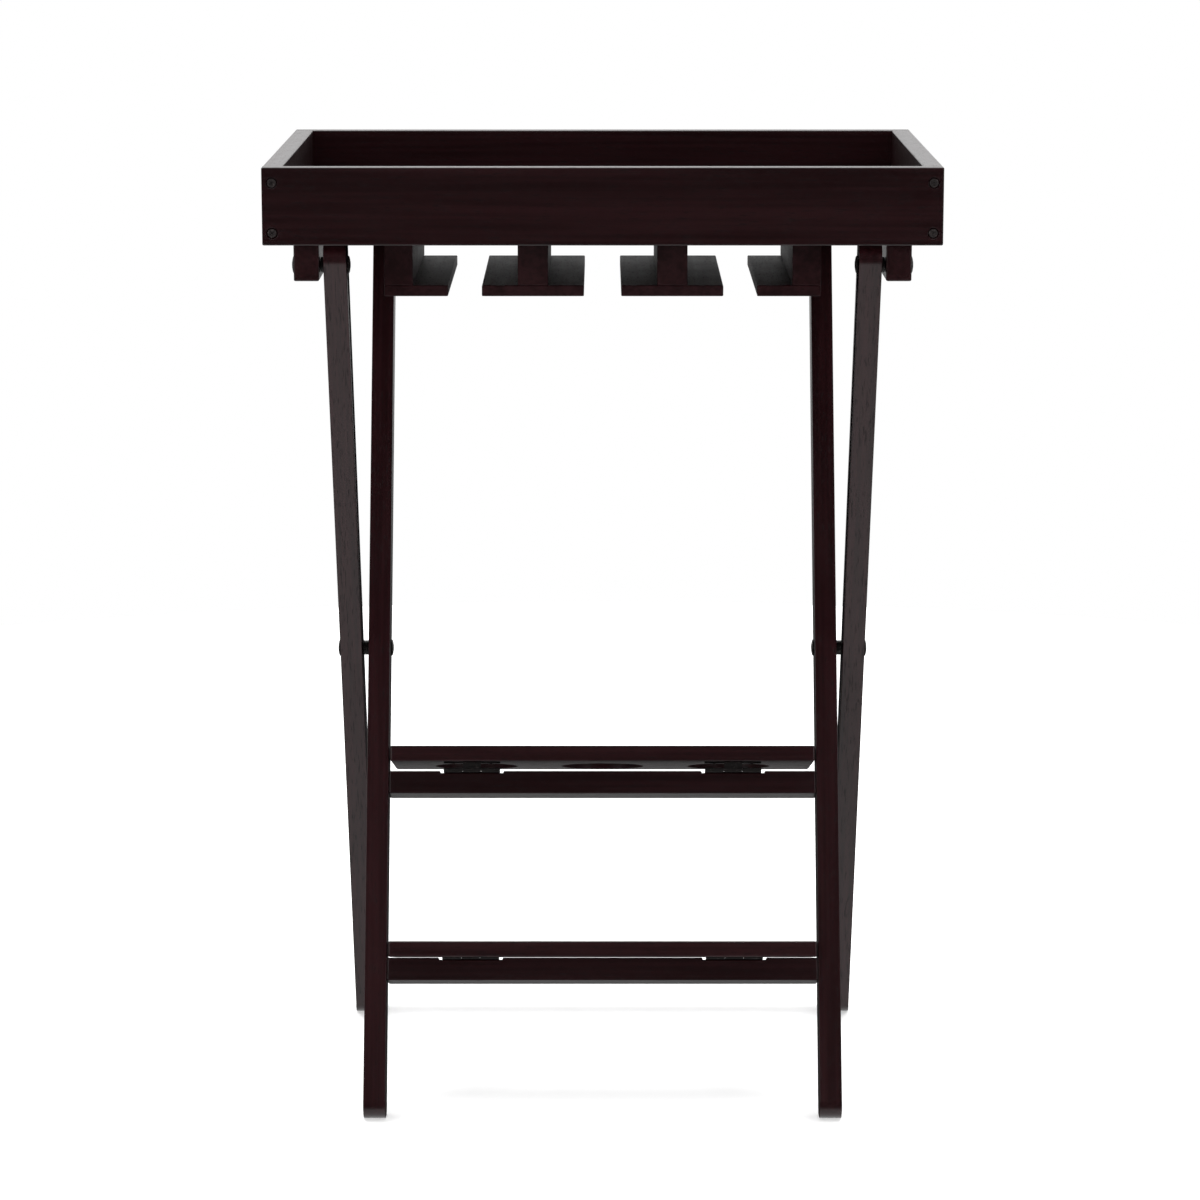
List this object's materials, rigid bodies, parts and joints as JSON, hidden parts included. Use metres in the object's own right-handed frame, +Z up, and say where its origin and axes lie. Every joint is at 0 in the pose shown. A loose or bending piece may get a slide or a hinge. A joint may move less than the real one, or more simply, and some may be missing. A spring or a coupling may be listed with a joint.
{
  "type": "folding tray table",
  "caption": "Folding serving table: a rimmed tray with a stemware rack under it, on crossed legs with hinged bottle shelves between them.",
  "frame": {"origin": "on the floor, under the middle of the tray", "axes": "+Z up, +X to the right along the tray's long side, -Y to the front, where the tray is hinged to the outer legs"},
  "size_m": [0.61, 0.42, 0.9],
  "materials": {
    "tray_wood": "semi-gloss lacquer over a dark wine-brown stain",
    "rack_wood": "satin lacquer over a dark wine-brown stain",
    "leg_wood": "semi-gloss lacquer over a dark wine-brown stain",
    "shelf_wood": "semi-gloss lacquer over a dark wine-brown stain",
    "black_steel": "black oxide with a thin oil sheen"
  },
  "bodies": {
    "inner_frame": {"left_inner_leg": "leg_wood", "right_inner_leg": "leg_wood", "upper_inner_crossbar": "leg_wood", "lower_inner_crossbar": "leg_wood", "left_crossing_bolt": "black_steel", "left_crossing_spacer": "black_steel", "right_crossing_bolt": "black_steel", "right_crossing_spacer": "black_steel", "upper_left_hinge_frame_leaf": "black_steel", "upper_right_hinge_frame_leaf": "black_steel", "lower_left_hinge_frame_leaf": "black_steel", "lower_right_hinge_frame_leaf": "black_steel", "upper_left_hinge_pin": "black_steel", "upper_right_hinge_pin": "black_steel", "lower_left_hinge_pin": "black_steel", "lower_right_hinge_pin": "black_steel"},
    "outer_frame": {"left_outer_leg": "leg_wood", "right_outer_leg": "leg_wood", "upper_outer_crossbar": "leg_wood", "lower_outer_crossbar": "leg_wood"},
    "tray_pivots": {"left_tray_pivot_bolt": "black_steel", "left_tray_pivot_spacer": "black_steel", "right_tray_pivot_bolt": "black_steel", "right_tray_pivot_spacer": "black_steel"},
    "tray": {"tray_front_rail": "tray_wood", "tray_back_rail": "tray_wood", "tray_left_side": "tray_wood", "tray_right_side": "tray_wood", "tray_floor": "tray_wood", "front_left_upper_screw": "black_steel", "front_left_lower_screw": "black_steel", "front_right_upper_screw": "black_steel", "front_right_lower_screw": "black_steel", "back_left_upper_screw": "black_steel", "back_left_lower_screw": "black_steel", "back_right_upper_screw": "black_steel", "back_right_lower_screw": "black_steel", "left_cleat": "rack_wood", "left_runner": "rack_wood", "right_cleat": "rack_wood", "right_runner": "rack_wood", "left_edge_rack_stem": "rack_wood", "left_edge_rack_flange": "rack_wood", "left_middle_rack_stem": "rack_wood", "left_middle_rack_flange": "rack_wood", "right_edge_rack_stem": "rack_wood", "right_edge_rack_flange": "rack_wood", "right_middle_rack_stem": "rack_wood", "right_middle_rack_flange": "rack_wood"},
    "upper_shelf": {"upper_bottle_shelf": "shelf_wood", "upper_left_hinge_shelf_leaf": "black_steel", "upper_right_hinge_shelf_leaf": "black_steel"},
    "lower_shelf": {"lower_bottle_shelf": "shelf_wood", "lower_left_hinge_shelf_leaf": "black_steel", "lower_right_hinge_shelf_leaf": "black_steel"}
  },
  "joints": [
    {"name": "leg_fold", "type": "hinge", "parent": "inner_frame", "child": "outer_frame", "pos_m": [0, 0, 0.4175], "axis": [-1, 0, 0], "range_deg": [0, 46]},
    {"name": "tray_level", "type": "hinge", "parent": "outer_frame", "child": "tray_pivots", "pos_m": [0, -0.16575, 0.80798], "axis": [1, 0, 0], "range_deg": [0, 23]},
    {"name": "tray_lift", "type": "hinge", "parent": "tray_pivots", "child": "tray", "pos_m": [0, -0.16575, 0.80798], "axis": [1, 0, 0], "range_deg": [0, 85]},
    {"name": "upper_shelf_fold", "type": "hinge", "parent": "inner_frame", "child": "upper_shelf", "pos_m": [0, -0.06285, 0.31088], "axis": [1, 0, 0], "range_deg": [0, 84.6]},
    {"name": "lower_shelf_fold", "type": "hinge", "parent": "inner_frame", "child": "lower_shelf", "pos_m": [0, -0.13287, 0.14593], "axis": [1, 0, 0], "range_deg": [0, 83.6]}
  ],
  "couplings": [
    {"joint": "tray_level", "follows": "leg_fold", "ratio": 0.5}
  ]
}
